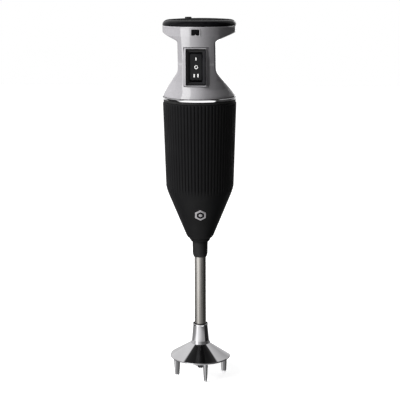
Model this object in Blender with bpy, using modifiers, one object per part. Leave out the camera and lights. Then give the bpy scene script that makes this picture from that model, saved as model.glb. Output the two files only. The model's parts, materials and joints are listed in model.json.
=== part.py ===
"""A corded hand blender of the straight "madhani" kind, standing on its blade guard's four legs.

Frame: +Z up, the motor axis is the Z axis, the leg tips are at Z = 0 and the switch faces -Y.
Every length below is in millimetres and is turned into metres where a mesh is made.
"""

import math

import bmesh
import bpy
from mathutils import Matrix, Vector

MM = 0.001
GAP = 0.3  # kept between neighbouring solids, press fits included

# Driving dimensions: the body
HEAD_R = 36.9
HEAD_TOP = 365.7
NECK_FRONT_R = 33.4
NECK_HALF_WIDTH = 18.8
WAIST_TOP = 351.9  # where the neck's flat sides meet the head's sloping underside
WAIST_BOTTOM = 322.0  # where they meet the flare
HEAD_SLOPE = math.tan(math.radians(21.7))
FLARE_SLOPE = 1.388  # drop per millimetre outwards, 54 degrees
UPPER_BOTTOM = 295.6
UPPER_WALL = 2.2
CAP_TOP = 373.0
JOINT_RING_R = 37.3
RIB_COUNT = 64
RIB_DEPTH = 0.8
SLEEVE_TOP = 289.7
CONE_TOP = 194.0
CONE_TOP_R = 31.3
CONE_BOTTOM = 151.9
CONE_BOTTOM_R = 14.0
NOSE_BOTTOM = 145.5

# Driving dimensions: the housing's screws, vents, latch and gland
HOUSING_SCREWS = {  # (x, z) and the depth of the head's seat
    "housing_screw_upper_left": (-13.0, 349.0, 24.0),
    "housing_screw_upper_right": (13.0, 349.0, 24.0),
    "housing_screw_lower_left": (-22.0, 302.0, 19.5),
    "housing_screw_lower_right": (22.0, 302.0, 19.5),
}
BOSS_R = 4.6
SCREW_HEAD_R = 2.7
SCREW_HEAD_HEIGHT = 1.8
SCREW_SHANK_R = 1.15
SCREW_TIP_Y = -9.0
VENT_SLOTS = 5
VENT_PITCH = 4.6
LATCH_SIZE = (7.7, 5.8)
LATCH_Z = 360.3
GLAND_AT = (-12.5, 12.0)
GLAND_R = 3.3
GLAND_TOP = 373.5

# Driving dimensions: the stem, guard and blade
TUBE_R = 6.0
TUBE_WALL = 1.0
TUBE_TOP = 172.0
TUBE_BOTTOM = 36.2
GUARD_R = 31.8
GUARD_SLOPE = 0.61  # drop per millimetre outwards, 31 degrees
GUARD_RIM_TOP = 22.4
LEG_COUNT = 4
LEG_R = 25.2
FRONT_LEG_AZIMUTH = 17.5  # degrees from -Y towards +X
BLADE_R = 17.0
DRIVE_SHAFT_R = 3.0

# Driving dimensions: the switch
SWITCH_Z = 326.8
SWITCH_OPENING = (20.2, 35.4)
SWITCH_FRAME = (24.3, 38.1)
SWITCH_FACE_Y = -33.2
ROCKER_PIVOT_Y = -27.5
ROCKER_WIDTH = 12.8
ROCKER_END_R = 13.6  # the rocker's ends are turned about its pivot

# Driving dimensions: the motor
STATOR_Z = (221.0, 249.0)
STATOR_R = 30.5
STATOR_RING_R = 24.0
ARMATURE_R = 15.8
MOTOR_SHAFT_R = 2.5
COMMUTATOR_R = 10.5
BRUSH_Z = 265.5
BOLT_CIRCLE_R = 26.2
BADGE_Z = 178.0
BADGE_AZIMUTH = 7.0

PARTS = None
CUTTERS = None


# ---------------------------------------------------------------- helpers


def clear_scene():
    for obj in list(bpy.data.objects):
        bpy.data.objects.remove(obj)


def new_collection(name):
    collection = bpy.data.collections.new(name)
    bpy.context.scene.collection.children.link(collection)
    return collection


def paint(name, colour, roughness, metallic=0.0):
    """A plain Principled material."""
    made = bpy.data.materials.new(name)
    made.use_nodes = True
    shader = made.node_tree.nodes["Principled BSDF"]
    shader.inputs["Base Color"].default_value = (*colour, 1)
    shader.inputs["Roughness"].default_value = roughness
    shader.inputs["Metallic"].default_value = metallic
    return made


def add(name, mesh, look, smooth=30):
    """Links a mesh as a part with a material of its own, smooth except across sharp edges."""
    obj = bpy.data.objects.new(name, mesh)
    PARTS.objects.link(obj)
    mesh.materials.append(paint(name, *look))
    if mesh.polygons:
        mesh.shade_smooth()
        mesh.set_sharp_from_angle(angle=math.radians(smooth))
    return obj


def use(obj, tool, operation="DIFFERENCE"):
    """Cuts, joins or crosses obj with a tool, which is then only a helper."""
    modifier = obj.modifiers.new(tool.name, "BOOLEAN")
    modifier.operation = operation
    modifier.object = tool
    if tool.name not in CUTTERS.objects:
        PARTS.objects.unlink(tool)
        CUTTERS.objects.link(tool)
    tool.hide_render = True
    tool.display_type = "WIRE"


def turned(name, profile, look, ring=True, steps=48, at=(0, 0)):
    """Turns an (r, z) profile about Z. It runs down its outer side; a ring's comes back up inside."""
    mesh = bpy.data.meshes.new(name)
    edges = [(i, i + 1) for i in range(len(profile) - 1)]
    if ring:
        edges.append((len(profile) - 1, 0))
    mesh.from_pydata([(r * MM, 0, z * MM) for r, z in profile], edges, [])
    obj = add(name, mesh, look)
    obj.location = (at[0] * MM, at[1] * MM, 0)
    screw = obj.modifiers.new("Turn", "SCREW")
    screw.angle = math.tau
    screw.steps = steps
    screw.render_steps = steps
    screw.use_merge_vertices = True
    screw.merge_threshold = 0.00001
    screw.use_smooth_shade = True
    return obj


def sleeve(name, inner, outer, z, look, steps=32):
    """A plain ring between two radii and two heights."""
    low, high = z
    return turned(name, [(outer, high), (outer, low), (inner, low), (inner, high)], look, steps=steps)


def box(name, low, high, look, bevel=0.0):
    """A block between two corners, with its origin at its middle."""
    mesh = bpy.data.meshes.new(name)
    shape = bmesh.new()
    bmesh.ops.create_cube(shape, size=1.0)
    size = (Vector(high) - Vector(low)) * MM
    bmesh.ops.scale(shape, vec=size, verts=shape.verts)
    shape.to_mesh(mesh)
    shape.free()
    obj = add(name, mesh, look)
    obj.location = (Vector(low) + Vector(high)) * MM / 2
    if bevel:
        edge = obj.modifiers.new("Edges", "BEVEL")
        edge.width = bevel * MM
        edge.segments = 2
    return obj


def rod(name, radius, start, end, look, sides=20):
    """A cylinder from one point to another."""
    mesh = bpy.data.meshes.new(name)
    shape = bmesh.new()
    way = (Vector(end) - Vector(start)) * MM
    bmesh.ops.create_cone(
        shape,
        cap_ends=True,
        segments=sides,
        radius1=radius * MM,
        radius2=radius * MM,
        depth=way.length,
    )
    shape.to_mesh(mesh)
    shape.free()
    obj = add(name, mesh, look)
    obj.location = (Vector(start) + Vector(end)) * MM / 2
    obj.rotation_mode = "QUATERNION"
    obj.rotation_quaternion = way.to_track_quat("Z", "Y")
    return obj


def rounded(corners, radius, steps=3):
    """An outline whose corners are arcs of one radius."""
    outline = []
    count = len(corners)
    for i, corner in enumerate(corners):
        here = Vector(corner)
        before = (Vector(corners[i - 1]) - here).normalized()
        after = (Vector(corners[(i + 1) % count]) - here).normalized()
        half = before.angle(after) / 2
        centre = here + (before + after).normalized() * radius / math.sin(half)
        first = here + before * radius / math.tan(half) - centre
        turn = first.angle_signed(here + after * radius / math.tan(half) - centre)
        for step in range(steps + 1):
            outline.append(centre + Matrix.Rotation(-turn * step / steps, 2) @ first)
    return outline


def rectangle(width, height):
    w, h = width / 2, height / 2
    return [(-w, -h), (w, -h), (w, h), (-w, h)]


def plate(name, outlines, thickness, look, rotation=(0, 0, 0), at=(0, 0, 0)):
    """A flat outline, with holes if there is more than one, made thick about its own plane.

    The curve is drawn in millimetres, because Blender's fill drops edges much shorter than one unit.
    """
    curve = bpy.data.curves.new(name, "CURVE")
    curve.dimensions = "2D"
    curve.fill_mode = "BOTH"
    curve.extrude = thickness / 2
    for outline in outlines:
        spline = curve.splines.new("POLY")
        spline.points.add(len(outline) - 1)
        for point, (x, y) in zip(spline.points, outline):
            point.co = (x, y, 0, 1)
        spline.use_cyclic_u = True
    guide = bpy.data.objects.new(name, curve)
    PARTS.objects.link(guide)
    graph = bpy.context.evaluated_depsgraph_get()
    mesh = bpy.data.meshes.new_from_object(guide.evaluated_get(graph))
    bpy.data.objects.remove(guide)
    bpy.data.curves.remove(curve)
    shape = bmesh.new()
    shape.from_mesh(mesh)
    bmesh.ops.remove_doubles(shape, verts=shape.verts, dist=0.001)
    bmesh.ops.scale(shape, vec=Vector((MM, MM, MM)), verts=shape.verts)
    bmesh.ops.recalc_face_normals(shape, faces=shape.faces)
    shape.to_mesh(mesh)
    shape.free()
    obj = add(name, mesh, look)
    obj.rotation_euler = [math.radians(angle) for angle in rotation]
    obj.location = Vector(at) * MM
    return obj


FACING_Y = (90, 0, 0)  # an outline of (x, z)
FACING_X = (90, 0, 90)  # an outline of (y, z)

# Looks: colour, roughness, metallic
SILVER = ((0.42, 0.41, 0.43), 0.3, 0.6)
BLACK_GLOSS = ((0.008, 0.008, 0.009), 0.15)
BLACK_SATIN = ((0.012, 0.012, 0.013), 0.42)
BLACK_RUBBER = ((0.015, 0.015, 0.015), 0.7)
CHROME = ((0.75, 0.75, 0.77), 0.06, 1.0)
STEEL = ((0.55, 0.53, 0.5), 0.25, 1.0)
DARK_STEEL = ((0.2, 0.2, 0.2), 0.45, 1.0)
BRASS = ((0.75, 0.55, 0.25), 0.3, 1.0)
COPPER = ((0.72, 0.32, 0.14), 0.35, 1.0)
CARBON = ((0.03, 0.03, 0.03), 0.6)
BRONZE = ((0.45, 0.32, 0.17), 0.45, 1.0)
NYLON = ((0.8, 0.79, 0.74), 0.5)
BLUE = ((0.04, 0.13, 0.35), 0.4)


# ---------------------------------------------------------------- upper housing



def upper_profile(inset):
    """The upper housing's outline without its side scoops, inset by a wall."""
    flare_start = 304.6
    return [
        (HEAD_R - 0.5 - inset, HEAD_TOP),
        (HEAD_R - inset, HEAD_TOP - 0.7),
        (HEAD_R - inset, 358.0),
        (34.9 - inset, 344.0),
        (NECK_FRONT_R - inset, 330.0),
        (NECK_FRONT_R - inset, 312.0),
        (34.2 - inset, flare_start),
        (36.2 - inset, 298.4),
        (36.45 - inset, 297.2),
        (36.45 - inset, UPPER_BOTTOM),
    ]


def scoop(name, side, wall):
    """The space beside the neck, cut straight through from front to back."""
    near = NECK_HALF_WIDTH - wall
    rise = HEAD_SLOPE * 25
    drop = FLARE_SLOPE * 20
    top = WAIST_TOP + wall / math.cos(math.atan(HEAD_SLOPE)) - wall * HEAD_SLOPE
    bottom = WAIST_BOTTOM - wall * math.hypot(1, FLARE_SLOPE) + wall * FLARE_SLOPE
    corners = [
        (side * near, top),
        (side * near, bottom),
        (side * (near + 20), bottom - drop),
        (side * (near + 25), bottom - drop),
        (side * (near + 25), top + rise),
    ]
    return plate(name, [rounded(corners, 1.6)], 90, SILVER, FACING_Y)


def upper_cavity():
    inner = upper_profile(UPPER_WALL)
    profile = [(0, HEAD_TOP + 3), (inner[1][0], HEAD_TOP + 3)] + inner[2:-1]
    profile += [(inner[-1][0], UPPER_BOTTOM - 3), (0, UPPER_BOTTOM - 3)]
    cavity = turned("upper_cavity", profile, SILVER, ring=False, steps=32)
    for side, label in ((-1, "left"), (1, "right")):
        use(cavity, scoop("inner_scoop_" + label, side, UPPER_WALL))
    for name, (x, z, _) in HOUSING_SCREWS.items():
        boss = rod(name + "_boss", BOSS_R, (x, -50, z), (x, 50, z), SILVER, sides=12)
        use(cavity, boss)
    return cavity


def screw_holes():
    """The holes for the housing screws, which run into the front half."""
    tools = []
    for name, (x, z, seat) in HOUSING_SCREWS.items():
        ends = ((x, SCREW_TIP_Y - 1, z), (x, seat + 1, z))
        tools.append(rod(name + "_hole", SCREW_SHANK_R + GAP, *ends, SILVER, sides=8))
    return tools


def screw_wells():
    """The wells for the housing screws' heads, open at the rear."""
    tools = []
    for name, (x, z, seat) in HOUSING_SCREWS.items():
        ends = ((x, seat, z), (x, 50, z))
        tools.append(rod(name + "_well", SCREW_HEAD_R + GAP, *ends, SILVER, sides=14))
    return tools


def vents():
    """Air slots in the rear of the neck, one tool each."""
    tools = []
    for i in range(VENT_SLOTS):
        z = 338.0 - i * VENT_PITCH
        outline = rounded(rectangle(16.0, 1.8), 0.8, steps=1)
        tools.append(plate(f"vent_{i + 1}", [outline], 14, SILVER, FACING_Y, (0, 32, z)))
    return tools


def upper_shell(name, y_side, cavity, scoops, tools):
    """Half of the upper housing: y_side is -1 for the front and 1 for the rear."""
    profile = [(0, HEAD_TOP)] + upper_profile(0) + [(0, UPPER_BOTTOM)]
    shell = turned(name, profile, SILVER, ring=False, steps=48)
    for tool in scoops:
        use(shell, tool)
    use(shell, cavity)
    far = -y_side * 60
    near = y_side * GAP / 2
    low = (-60, min(far, near), 280)
    high = (60, max(far, near), 380)
    use(shell, box(name + "_parting", low, high, SILVER))
    for tool in tools:
        use(shell, tool)
    return shell


def upper_housing():
    cavity = upper_cavity()
    scoops = [scoop("scoop_left", -1, 0), scoop("scoop_right", 1, 0)]
    holes = screw_holes()
    opening = (SWITCH_FRAME[0] + 2 * GAP, SWITCH_FRAME[1] + 2 * GAP)
    low = (-opening[0] / 2, -50, SWITCH_Z - opening[1] / 2)
    high = (opening[0] / 2, -27.5, SWITCH_Z + opening[1] / 2)
    switch_hole = box("switch_hole", low, high, SILVER)
    latch_hole = box(
        "latch_hole",
        (-LATCH_SIZE[0] / 2, -50, LATCH_Z - LATCH_SIZE[1] / 2),
        (LATCH_SIZE[0] / 2, -30, LATCH_Z + LATCH_SIZE[1] / 2),
        SILVER,
    )
    upper_shell("housing_front", -1, cavity, scoops, [switch_hole, latch_hole] + holes)
    upper_shell("housing_rear", 1, cavity, scoops, holes + screw_wells() + vents())
    box(
        "cap_latch",
        (-LATCH_SIZE[0] / 2 + GAP, -36.3, LATCH_Z - LATCH_SIZE[1] / 2 + GAP),
        (LATCH_SIZE[0] / 2 - GAP, -34.9, LATCH_Z + LATCH_SIZE[1] / 2 - GAP),
        BLACK_GLOSS,
        bevel=0.2,
    )


def screw(name, head_at, direction, length, head_r, shank_r):
    """A pan-head screw with a cross slot, its head's flat side at head_at."""
    way = Vector(direction)
    start = Vector(head_at)
    shank = rod(name, shank_r, start - way * 0.2, start + way * length, DARK_STEEL, sides=8)
    head = rod(name + "_head", head_r, start - way * SCREW_HEAD_HEIGHT, start, DARK_STEEL, sides=12)
    use(shank, head, "UNION")
    return shank


def housing_screws():
    for name, (x, z, seat) in HOUSING_SCREWS.items():
        made = screw(name, (x, seat + GAP, z), (0, -1, 0), seat - SCREW_TIP_Y, SCREW_HEAD_R, SCREW_SHANK_R)
        top = seat + GAP + SCREW_HEAD_HEIGHT
        for turn, (wide, high) in enumerate(((3.4, 0.7), (0.7, 3.4))):
            low = (x - wide / 2, top - 0.8, z - high / 2)
            end = (x + wide / 2, top + 1, z + high / 2)
            use(made, box(f"{name}_slot_{turn + 1}", low, end, DARK_STEEL))


def top_cap():
    """The domed cover with a skirt that stands in the head, and the cord's gland."""
    skirt_r = HEAD_R - UPPER_WALL - 0.5
    underside = HEAD_TOP + GAP
    edge_steps = 4
    edge = []
    for i in range(edge_steps + 1):
        t = i / edge_steps * math.pi / 2
        edge.append((31.6 + 5.1 * math.sin(t), 367.0 + 4.9 * math.cos(t)))
    profile = [(0, CAP_TOP), (14, CAP_TOP - 0.1), (24, CAP_TOP - 0.45)] + edge
    profile += [(36.8, underside), (skirt_r, underside), (skirt_r, 361.6)]
    profile += [(skirt_r - 1.7, 361.6), (skirt_r - 1.7, 369.0), (skirt_r - 4, 370.0), (0, 370.6)]
    cap = turned("top_cap", profile, BLACK_GLOSS, ring=False, steps=40)
    x, y = GLAND_AT
    use(cap, rod("gland_hole", GLAND_R + GAP, (x, y, 360), (x, y, 380), BLACK_GLOSS, sides=16))
    gland = [(2.4, GLAND_TOP), (GLAND_R - 0.3, GLAND_TOP), (GLAND_R, GLAND_TOP - 0.3)]
    gland += [(GLAND_R, 368.6), (2.4, 368.6)]
    turned("cord_gland", gland, BLACK_RUBBER, steps=16, at=GLAND_AT)


# ---------------------------------------------------------------- switch


def switch_frame():
    outer = rounded(rectangle(*SWITCH_FRAME), 1.4)
    inner = rounded(rectangle(*SWITCH_OPENING), 0.6, steps=2)
    face = SWITCH_FACE_Y - 1.3
    back = -28.6
    frame = plate("switch_frame", [outer, inner], back - face, SILVER, FACING_Y)
    frame.location = (0, (face + back) / 2 * MM, SWITCH_Z * MM)


def switch_body():
    """The flange and the box behind it, with the well that the rocker turns in."""
    width, height = SWITCH_OPENING[0] - 2 * GAP, SWITCH_OPENING[1] - 2 * GAP
    low = (-width / 2, SWITCH_FACE_Y, SWITCH_Z - height / 2)
    high = (width / 2, -15.0, SWITCH_Z + height / 2)
    body = box("switch_body", low, high, BLACK_SATIN, bevel=0.4)
    half = ROCKER_WIDTH / 2 + GAP + 0.1
    reach = ROCKER_END_R + GAP + 0.1
    well = box(
        "rocker_well",
        (-half, -40, SWITCH_Z - reach),
        (half, -21.5, SWITCH_Z + reach),
        BLACK_SATIN,
    )
    use(body, well)
    pivot = (ROCKER_PIVOT_Y, SWITCH_Z)
    use(body, rod("pivot_hole", 1.6, (-8.6, *pivot), (8.6, *pivot), BLACK_SATIN, sides=12))


def rocker():
    """A three-position paddle: its ends are arcs about the pivot, its face a shallow V."""
    front = math.radians(24.5)
    back = math.radians(-12.0)
    arc_steps = 4
    top = []
    for i in range(arc_steps + 1):
        angle = front + (back - front) * i / arc_steps
        top.append((-ROCKER_END_R * math.sin(angle), ROCKER_END_R * math.cos(angle)))
    bottom = [(y, -z) for y, z in reversed(top)]
    outline = [(-4.3, 0.0)] + top + [(4.6, 6.0), (4.6, -6.0)] + bottom
    pivot = (0, ROCKER_PIVOT_Y, SWITCH_Z)
    paddle = plate("rocker", [outline], ROCKER_WIDTH, BLACK_SATIN, FACING_X, pivot)
    ends = ((-8.1, *pivot[1:]), (8.1, *pivot[1:]))
    use(paddle, rod("rocker_trunnions", 1.2, *ends, BLACK_SATIN, sides=12), "UNION")


def switch_wiring():
    """Tabs behind the switch, the half-speed diode and the suppression capacitor."""
    for i, rise in enumerate((10.0, 0.0, -10.0)):
        z = SWITCH_Z + rise
        box(f"switch_tab_{i + 1}", (-3.1, -14.7, z - 0.4), (3.1, -6.5, z + 0.4), BRASS)
    rod("speed_diode", 2.6, (9.5, -5, 318), (9.5, -5, 327.5), BLACK_SATIN)
    box("noise_capacitor", (-7.5, 3.5, 318), (7.5, 12.0, 336), BLUE, bevel=0.6)


# ---------------------------------------------------------------- joint rings and motor housing


def joint_rings():
    inner = 34.0
    chamfer = 0.35
    ring = [
        (JOINT_RING_R - chamfer, 295.2),
        (JOINT_RING_R, 295.2 - chamfer),
        (JOINT_RING_R, 292.8),
        (inner, 292.8),
        (inner, 295.2),
    ]
    turned("trim_ring", ring, CHROME)
    sleeve("gasket", inner, 36.4, (SLEEVE_TOP + GAP, 292.5), BLACK_RUBBER, steps=40)


def ribbed_sleeve():
    """The grip's outer surface: rings of points that step between rib crests and grooves."""
    rings = [  # height, crest radius, groove depth
        (199.0, 33.3, 0.0),
        (203.5, 34.5, RIB_DEPTH),
        (288.2, 37.0, RIB_DEPTH),
        (SLEEVE_TOP, 36.4, 0.0),
    ]
    shares = ((0.0, 0), (0.5, 0), (0.75, 1))  # place in the pitch, and 1 at the groove's bottom
    shape = bmesh.new()
    loops = []
    for z, crest, depth in rings:
        loop = []
        for rib in range(RIB_COUNT):
            for share, in_groove in shares:
                angle = math.tau * (rib + share) / RIB_COUNT
                radius = crest - depth * in_groove
                place = (radius * math.cos(angle), radius * math.sin(angle), z)
                loop.append(shape.verts.new(Vector(place) * MM))
        loops.append(loop)
    for lower, upper in zip(loops, loops[1:]):
        for i in range(len(lower)):
            j = (i + 1) % len(lower)
            shape.faces.new((lower[i], lower[j], upper[j], upper[i]))
    shape.faces.new(reversed(loops[0]))
    shape.faces.new(loops[-1])
    mesh = bpy.data.meshes.new("motor_housing")
    shape.to_mesh(mesh)
    shape.free()
    return add("motor_housing", mesh, BLACK_SATIN)


def motor_housing():
    """The ribbed grip, the cone and its stepped nose in one shell, with a spigot at the top."""
    housing = ribbed_sleeve()
    cone = [
        (0, 205.0),
        (32.6, 205.0),
        (32.6, 197.4),
        (CONE_TOP_R, CONE_TOP),
        (CONE_BOTTOM_R, CONE_BOTTOM),
        (12.6, 149.8),
        (10.7, 149.4),
        (10.4, 147.6),
        (9.2, NOSE_BOTTOM),
        (0, NOSE_BOTTOM),
    ]
    use(housing, turned("cone", cone, BLACK_SATIN, ring=False, steps=40), "UNION")
    spigot = [(0, 297.0), (33.6, 297.0), (33.6, 280.0), (0, 280.0)]
    use(housing, turned("spigot", spigot, BLACK_SATIN, ring=False, steps=40), "UNION")
    bore = TUBE_R + GAP + 0.05
    cavity = [
        (0, 300.0),
        (31.5, 300.0),
        (31.5, 205.0),
        (29.0, 196.0),
        (13.6, 160.0),
        (bore, 158.8),
        (bore, 140.0),
        (0, 140.0),
    ]
    use(housing, turned("motor_cavity", cavity, BLACK_SATIN, ring=False, steps=32))


def badge():
    """A plain hexagonal plaque on the cone."""
    slope = math.atan2(CONE_TOP_R - CONE_BOTTOM_R, CONE_TOP - CONE_BOTTOM)
    radius = CONE_BOTTOM_R + (BADGE_Z - CONE_BOTTOM) * math.tan(slope)
    turn = math.radians(BADGE_AZIMUTH)
    across = 6.3
    outline = [(across * math.sin(math.pi / 3 * i), across * math.cos(math.pi / 3 * i)) for i in range(6)]
    plaque = plate("badge", [rounded(outline, 0.6, steps=2)], 0.8, SILVER)
    outward = Vector((math.sin(turn), -math.cos(turn), -math.tan(slope))).normalized()
    foot = Vector((math.sin(turn) * radius, -math.cos(turn) * radius, BADGE_Z))
    plaque.rotation_mode = "QUATERNION"
    plaque.rotation_quaternion = outward.to_track_quat("Z", "Y")
    plaque.location = (foot + outward * (GAP + 0.4)) * MM


# ---------------------------------------------------------------- motor


def stator():
    """A laminated ring with two poles, whose shoes reach round the armature."""
    low, high = STATOR_Z
    core = sleeve("stator_core", STATOR_RING_R, STATOR_R, STATOR_Z, DARK_STEEL, steps=28)
    shoes = sleeve("pole_shoes", ARMATURE_R + 0.5, ARMATURE_R + 3.5, STATOR_Z, DARK_STEEL, steps=24)
    use(shoes, box("shoe_gap", (-10, -40, low - 5), (10, 40, high + 5), DARK_STEEL))
    use(core, shoes, "UNION")
    for side, label in ((-1, "left"), (1, "right")):
        xs = sorted((side * 17.6, side * 27.0))
        neck = box("pole_" + label, (xs[0], -5, low), (xs[1], 5, high), DARK_STEEL)
        use(core, neck, "UNION")
    for i in range(4):
        use(core, bolt_hole("stator", i, low - 5, high + 5))
    middle = (low + high) / 2
    for side, label in ((-1, "left"), (1, "right")):
        outer = rounded(rectangle(19.4, high - low + 12), 3.0)
        inner = rounded(rectangle(10.8, high - low + 2 * GAP + 0.2), 0.5, steps=1)
        at = (side * 20.6, 0, middle)
        plate("field_coil_" + label, [outer, inner], 1.7, COPPER, FACING_X, at)


def bolt_place(i):
    angle = math.radians(45 + 90 * i)
    return BOLT_CIRCLE_R * math.cos(angle), BOLT_CIRCLE_R * math.sin(angle)


def bolt_hole(owner, i, low, high):
    x, y = bolt_place(i)
    return rod(f"{owner}_bolt_hole_{i + 1}", 1.7, (x, y, low), (x, y, high), DARK_STEEL, sides=8)


def motor_bolts():
    for i in range(4):
        x, y = bolt_place(i)
        screw(f"motor_bolt_{i + 1}", (x, y, 280.2), (0, 0, -1), 82.0, 2.6, 1.4)


def brackets():
    """The two end plates with bearing seats, and the plate that carries the brush holders."""
    seat = 8.3
    upper = [
        (10.5, 284.5),
        (10.5, 279.9),
        (30.5, 279.9),
        (30.5, 276.4),
        (3.2, 276.4),
        (3.2, 278.0),
        (seat, 278.0),
        (seat, 284.5),
    ]
    lower = [
        (28.6, 200.5),
        (28.6, 197.2),
        (10.5, 197.2),
        (10.5, 191.0),
        (seat, 191.0),
        (seat, 197.6),
        (3.2, 197.6),
        (3.2, 200.5),
    ]
    plates = {
        "upper_bracket": turned("upper_bracket", upper, DARK_STEEL, steps=20),
        "brush_plate": sleeve("brush_plate", 13.0, 30.5, (270.2, 272.8), NYLON, steps=20),
        "lower_bracket": turned("lower_bracket", lower, DARK_STEEL, steps=20),
    }
    for name, made in plates.items():
        for i in range(4):
            use(made, bolt_hole(name, i, 190, 290))
    sleeve("upper_bearing", MOTOR_SHAFT_R + GAP, seat - GAP, (278.4, 283.4), STEEL, steps=20)
    sleeve("lower_bearing", MOTOR_SHAFT_R + GAP, seat - GAP, (192.0, 197.2), STEEL, steps=20)


def brush_gear():
    """On each side a brass holder with a carbon brush and the spring behind it."""
    for side, label in ((-1, "left"), (1, "right")):
        inner_end, outer_end = side * 12.4, side * 27.6
        xs = sorted((inner_end, outer_end))
        holder = box(
            "brush_holder_" + label,
            (xs[0], -3.7, BRUSH_Z - 3.2),
            (xs[1], 3.7, BRUSH_Z + 3.2),
            BRASS,
        )
        xs = sorted((side * 10.0, side * 26.8))
        use(
            holder,
            box("holder_bore_" + label, (xs[0], -3.0, BRUSH_Z - 2.5), (xs[1], 3.0, BRUSH_Z + 2.5), BRASS),
        )
        xs = sorted((side * (COMMUTATOR_R + 0.4), side * 19.0))
        box("brush_" + label, (xs[0], -2.7, BRUSH_Z - 2.2), (xs[1], 2.7, BRUSH_Z + 2.2), CARBON)
        brush_spring("brush_spring_" + label, side)


def brush_spring(name, side):
    """A small compression spring along X, between the brush and its holder's end."""
    turns, per_turn = 4, 6
    radius, wire = 1.6, 0.3
    start, end = 19.7, 26.2
    curve = bpy.data.curves.new(name, "CURVE")
    curve.dimensions = "3D"
    curve.bevel_depth = wire * MM
    curve.bevel_resolution = 0
    curve.use_fill_caps = True
    spline = curve.splines.new("POLY")
    count = turns * per_turn
    spline.points.add(count)
    for i, point in enumerate(spline.points):
        angle = math.tau * i / per_turn
        x = side * (start + (end - start) * i / count)
        place = Vector((x, radius * math.cos(angle), radius * math.sin(angle))) * MM
        point.co = (*place, 1)
    obj = bpy.data.objects.new(name, curve)
    PARTS.objects.link(obj)
    obj.location = (0, 0, BRUSH_Z * MM)
    curve.materials.append(paint(name, *STEEL))


def rotor():
    """Everything that turns with the motor shaft, down to the coupling."""
    low, high = STATOR_Z
    shaft_hole = MOTOR_SHAFT_R + GAP
    shaft = [(0, 286.0), (2.2, 286.0), (MOTOR_SHAFT_R, 285.6), (MOTOR_SHAFT_R, 181.6), (0, 181.6)]
    turned("motor_shaft", shaft, STEEL, ring=False, steps=24)
    sleeve("armature_core", shaft_hole, ARMATURE_R, (low, high), DARK_STEEL, steps=28)
    for label, near, far in (("upper", high + GAP, high + 8), ("lower", low - GAP, low - 8)):
        middle = (near + far) / 2
        swell = [(14.3, middle + 2.0), (14.3, middle - 2.0), (11, middle - 3.8), (4.2, middle - 3.8)]
        swell += [(4.2, middle + 3.8), (11, middle + 3.8)]
        turned("armature_winding_" + label, swell, COPPER, steps=20)
    sleeve("commutator", shaft_hole, COMMUTATOR_R, (259.0, 272.0), COPPER, steps=24)
    fan()
    grip = [(6.5, 188.0), (6.5, 174.0), (3.3, 174.0), (3.3, 181.1), (2.8, 181.1), (2.8, 188.0)]
    turned("shaft_coupling", grip, NYLON, steps=18)


def fan():
    """A disc and hub with radial vanes, which draws air past the windings."""
    vanes = 9
    hub = [(6.5, 211.0), (6.5, 205.2), (24.0, 205.0), (24.0, 203.6), (2.8, 203.6), (2.8, 211.0)]
    wheel = turned("cooling_fan", hub, NYLON, steps=20)
    mesh = bpy.data.meshes.new("fan_vanes")
    shape = bmesh.new()
    for i in range(vanes):
        made = bmesh.ops.create_cube(shape, size=1.0)["verts"]
        bmesh.ops.scale(shape, vec=Vector((17.4, 1.2, 6.6)) * MM, verts=made)
        bmesh.ops.translate(shape, vec=Vector((14.7, 0, 207.3)) * MM, verts=made)
        bmesh.ops.rotate(shape, matrix=Matrix.Rotation(math.tau * i / vanes, 3, "Z"), verts=made)
    shape.to_mesh(mesh)
    shape.free()
    use(wheel, add("fan_vanes", mesh, NYLON), "UNION")


# ---------------------------------------------------------------- stem, guard and blade


def stem():
    bore = TUBE_R + GAP
    collar = [
        (8.0, NOSE_BOTTOM - GAP),
        (7.76, 132.7),
        (7.3, 130.6),
        (6.7, 129.0),
        (bore, 129.0),
        (bore, NOSE_BOTTOM - GAP),
    ]
    turned("stem_collar", collar, BLACK_RUBBER, steps=24)
    sleeve("stem_tube", TUBE_R - TUBE_WALL, TUBE_R, (TUBE_BOTTOM, TUBE_TOP), STEEL, steps=28)
    sleeve("tube_retainer", bore, 10.0, (160.4, 166.0), BRASS, steps=20)
    inside = TUBE_R - TUBE_WALL - GAP
    around = DRIVE_SHAFT_R + GAP
    sleeve("upper_bush", around, inside, (160.0, 171.0), BRONZE, steps=16)
    sleeve("lower_bush", around, inside, (38.0, 50.0), BRONZE, steps=16)
    sleeve("shaft_seal", around, 5.6, (28.0, 33.5), BLACK_RUBBER, steps=20)
    shaft = [
        (0, 180.8),
        (DRIVE_SHAFT_R, 180.8),
        (DRIVE_SHAFT_R, 15.0),
        (2.0, 15.0),
        (2.0, 8.8),
        (0, 8.8),
    ]
    turned("drive_shaft", shaft, STEEL, ring=False, steps=24)


def guard_top(r):
    """Height of the guard's upper face at a radius."""
    return GUARD_RIM_TOP + (GUARD_R - r) * GUARD_SLOPE


def leg(i):
    """A tapered fin under the rim, its top inside the guard's wall."""
    inner, outer = LEG_R - 3.3, LEG_R + 3.3
    outline = [
        (inner, guard_top(inner) - 1.2),
        (inner + 0.1, 18.0),
        (LEG_R - 2.2, 2.2),
        (LEG_R - 1.2, 0.0),
        (LEG_R + 1.0, 0.0),
        (LEG_R + 2.1, 2.2),
        (outer - 0.1, 18.0),
        (outer, guard_top(outer) - 1.2),
    ]
    azimuth = FRONT_LEG_AZIMUTH + 360 * i / LEG_COUNT
    made = plate(f"leg_{i + 1}", [outline], 5.0, CHROME, (90, 0, azimuth - 90))
    for vertex in made.data.vertices:
        height = min(vertex.co.y / (18.0 * MM), 1.0)
        vertex.co.z *= 0.5 + 0.5 * math.sqrt(height)
    return made


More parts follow.
